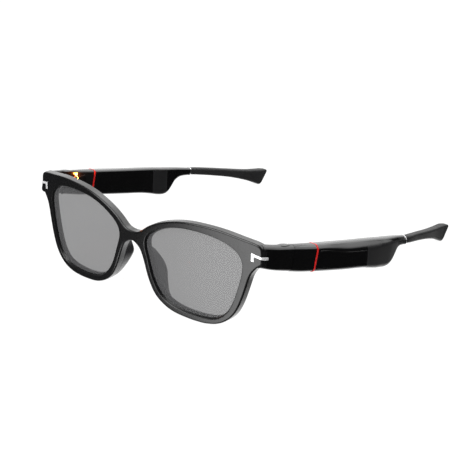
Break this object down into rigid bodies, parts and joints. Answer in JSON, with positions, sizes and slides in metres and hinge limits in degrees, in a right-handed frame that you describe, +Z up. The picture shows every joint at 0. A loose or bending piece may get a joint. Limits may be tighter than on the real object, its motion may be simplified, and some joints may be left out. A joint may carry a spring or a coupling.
{
  "type": "smart glasses",
  "caption": "Full rim smart glasses: tinted lenses, folding arms with plug-in electronics temples, status light, touch panels and rubber tips.",
  "frame": {"origin": "middle of the bottom of the object's box, with the temples open", "axes": "+X to the wearer's left, +Y from the front back to the temple tips, +Z up"},
  "size_m": [0.158, 0.1777, 0.049],
  "materials": {
    "gloss_black": "injected dark grey plastic, polished",
    "tinted_lens": "even grey tint, clear coat",
    "pad_plastic": "polished, moulded with the rim's colour",
    "silver_trim": "polished silver inlay",
    "hinge_steel": "brushed",
    "screw_steel": "turned, bright",
    "soft_black": "fine satin texture",
    "contact_gold": "plated",
    "board_green": "solder mask",
    "red_silicone": "satin silicone",
    "amber_light": "lit diffuser",
    "satin_black": "fine satin texture",
    "steel_mesh": "perforated, dark",
    "dark_plastic": "moulded",
    "cell_foil": "laminated foil",
    "grip_rubber": "soft matte"
  },
  "bodies": {
    "front": {"front_frame": "gloss_black", "left_lens": "tinted_lens", "right_lens": "tinted_lens", "left_nose_pad": "pad_plastic", "right_nose_pad": "pad_plastic", "left_corner_trim": "silver_trim", "right_corner_trim": "silver_trim", "left_front_leaf": "hinge_steel", "right_front_leaf": "hinge_steel", "left_hinge_screw": "screw_steel", "right_hinge_screw": "screw_steel"},
    "left_stub": {"left_rear_leaf": "hinge_steel", "left_stub_shell": "gloss_black", "left_stub_cover": "soft_black", "left_contact_plug": "contact_gold", "left_microphone": "board_green", "left_seal_ring": "red_silicone"},
    "right_stub": {"right_rear_leaf": "hinge_steel", "right_stub_shell": "gloss_black", "right_stub_cover": "soft_black", "right_contact_plug": "contact_gold", "right_microphone": "board_green", "right_seal_ring": "red_silicone", "status_light": "amber_light", "light_board": "board_green"},
    "left_temple": {"left_module_shell": "satin_black", "left_module_cover": "gloss_black", "left_touch_panel": "gloss_black", "left_speaker_grille": "steel_mesh", "left_socket": "dark_plastic", "left_main_board": "board_green", "left_battery": "cell_foil", "left_speaker": "dark_plastic", "left_temple_tip": "grip_rubber", "left_tip_core": "screw_steel"},
    "right_temple": {"right_module_shell": "satin_black", "right_module_cover": "gloss_black", "right_touch_panel": "gloss_black", "right_speaker_grille": "steel_mesh", "right_socket": "dark_plastic", "right_main_board": "board_green", "right_battery": "cell_foil", "right_speaker": "dark_plastic", "right_temple_tip": "grip_rubber", "right_tip_core": "screw_steel"},
    "button": {"function_button": "grip_rubber"}
  },
  "joints": [
    {"name": "left_fold", "type": "hinge", "parent": "front", "child": "left_stub", "pos_m": [0.0695, -0.05935, 0.035], "axis": [0, 0, 1], "range_deg": [0, 90]},
    {"name": "right_fold", "type": "hinge", "parent": "front", "child": "right_stub", "pos_m": [-0.0695, -0.05935, 0.035], "axis": [0, 0, -1], "range_deg": [0, 80]},
    {"name": "left_release", "type": "slide", "parent": "left_stub", "child": "left_temple", "axis": [0, 0.9751, -0.2215], "range_m": [0, 0.006]},
    {"name": "right_release", "type": "slide", "parent": "right_stub", "child": "right_temple", "axis": [0, 0.9751, -0.2215], "range_m": [0, 0.006]},
    {"name": "button_press", "type": "slide", "parent": "right_temple", "child": "button", "axis": [0, 0.2215, 0.9751], "range_m": [0, 0.0006], "stiffness_N_per_m": 300, "springref_m": -0.0005}
  ]
}
